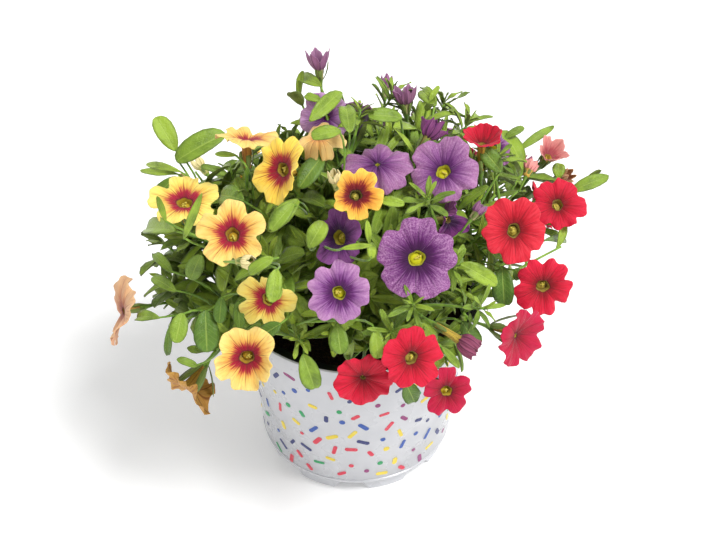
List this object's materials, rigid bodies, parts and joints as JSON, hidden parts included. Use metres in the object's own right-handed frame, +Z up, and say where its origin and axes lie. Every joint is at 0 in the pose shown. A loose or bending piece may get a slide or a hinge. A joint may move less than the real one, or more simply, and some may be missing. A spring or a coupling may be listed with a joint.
{
  "type": "potted petunia mix",
  "caption": "Three small-flowered petunias, yellow, purple and red, in a round nursery pot on short feet, full and mounded over its lip",
  "frame": {"origin": "on the pot's axis, level with the soles of its feet", "axes": "+Z up along the pot's axis, -Y towards the front of the planting, +X to its right"},
  "size_m": [0.2553, 0.2227, 0.2181],
  "materials": {
    "pot_plastic": "white outside, black inside, small printed dots and dashes",
    "compost": "dark peat compost",
    "foliage": "bright green stems and leaves",
    "yellow_petals": "warm yellow petals with a crimson eye",
    "purple_petals": "veined purple petals with a yellow throat",
    "red_petals": "red petals with a yellow throat"
  },
  "bodies": {
    "root": {"pot": "pot_plastic", "soil": "compost", "purple_bud_1": "purple_petals", "purple_bud_2": "purple_petals", "purple_flower_1": "purple_petals", "purple_flower_2": "purple_petals", "purple_flower_3": "purple_petals", "purple_flower_4": "purple_petals", "purple_flower_5": "purple_petals", "purple_flower_6": "purple_petals", "purple_flower_7": "purple_petals", "purple_flower_8": "purple_petals", "purple_flower_9": "purple_petals", "purple_flower_10": "purple_petals", "purple_flower_11": "purple_petals", "purple_flower_12": "purple_petals", "purple_shoot_1": "foliage", "purple_shoot_2": "foliage", "purple_shoot_3": "foliage", "purple_shoot_4": "foliage", "purple_shoot_5": "foliage", "purple_shoot_6": "foliage", "red_bud_1": "red_petals", "red_bud_2": "red_petals", "red_flower_1": "red_petals", "red_flower_2": "red_petals", "red_flower_3": "red_petals", "red_flower_4": "red_petals", "red_flower_5": "red_petals", "red_flower_6": "red_petals", "red_flower_7": "red_petals", "red_flower_8": "red_petals", "red_flower_9": "red_petals", "red_flower_10": "red_petals", "red_flower_11": "red_petals", "red_flower_12": "red_petals", "red_shoot_1": "foliage", "red_shoot_2": "foliage", "red_shoot_3": "foliage", "red_shoot_4": "foliage", "red_shoot_5": "foliage", "yellow_flower_1": "yellow_petals", "yellow_flower_2": "yellow_petals", "yellow_flower_3": "yellow_petals", "yellow_flower_4": "yellow_petals", "yellow_flower_5": "yellow_petals", "yellow_flower_6": "yellow_petals", "yellow_flower_7": "yellow_petals", "yellow_flower_8": "yellow_petals", "yellow_flower_9": "yellow_petals", "yellow_flower_10": "yellow_petals", "yellow_flower_11": "yellow_petals", "yellow_flower_12": "yellow_petals", "yellow_flower_13": "yellow_petals", "yellow_shoot_1": "foliage", "yellow_shoot_2": "foliage", "yellow_shoot_3": "foliage", "yellow_shoot_4": "foliage", "yellow_shoot_5": "foliage"}
  },
  "joints": []
}
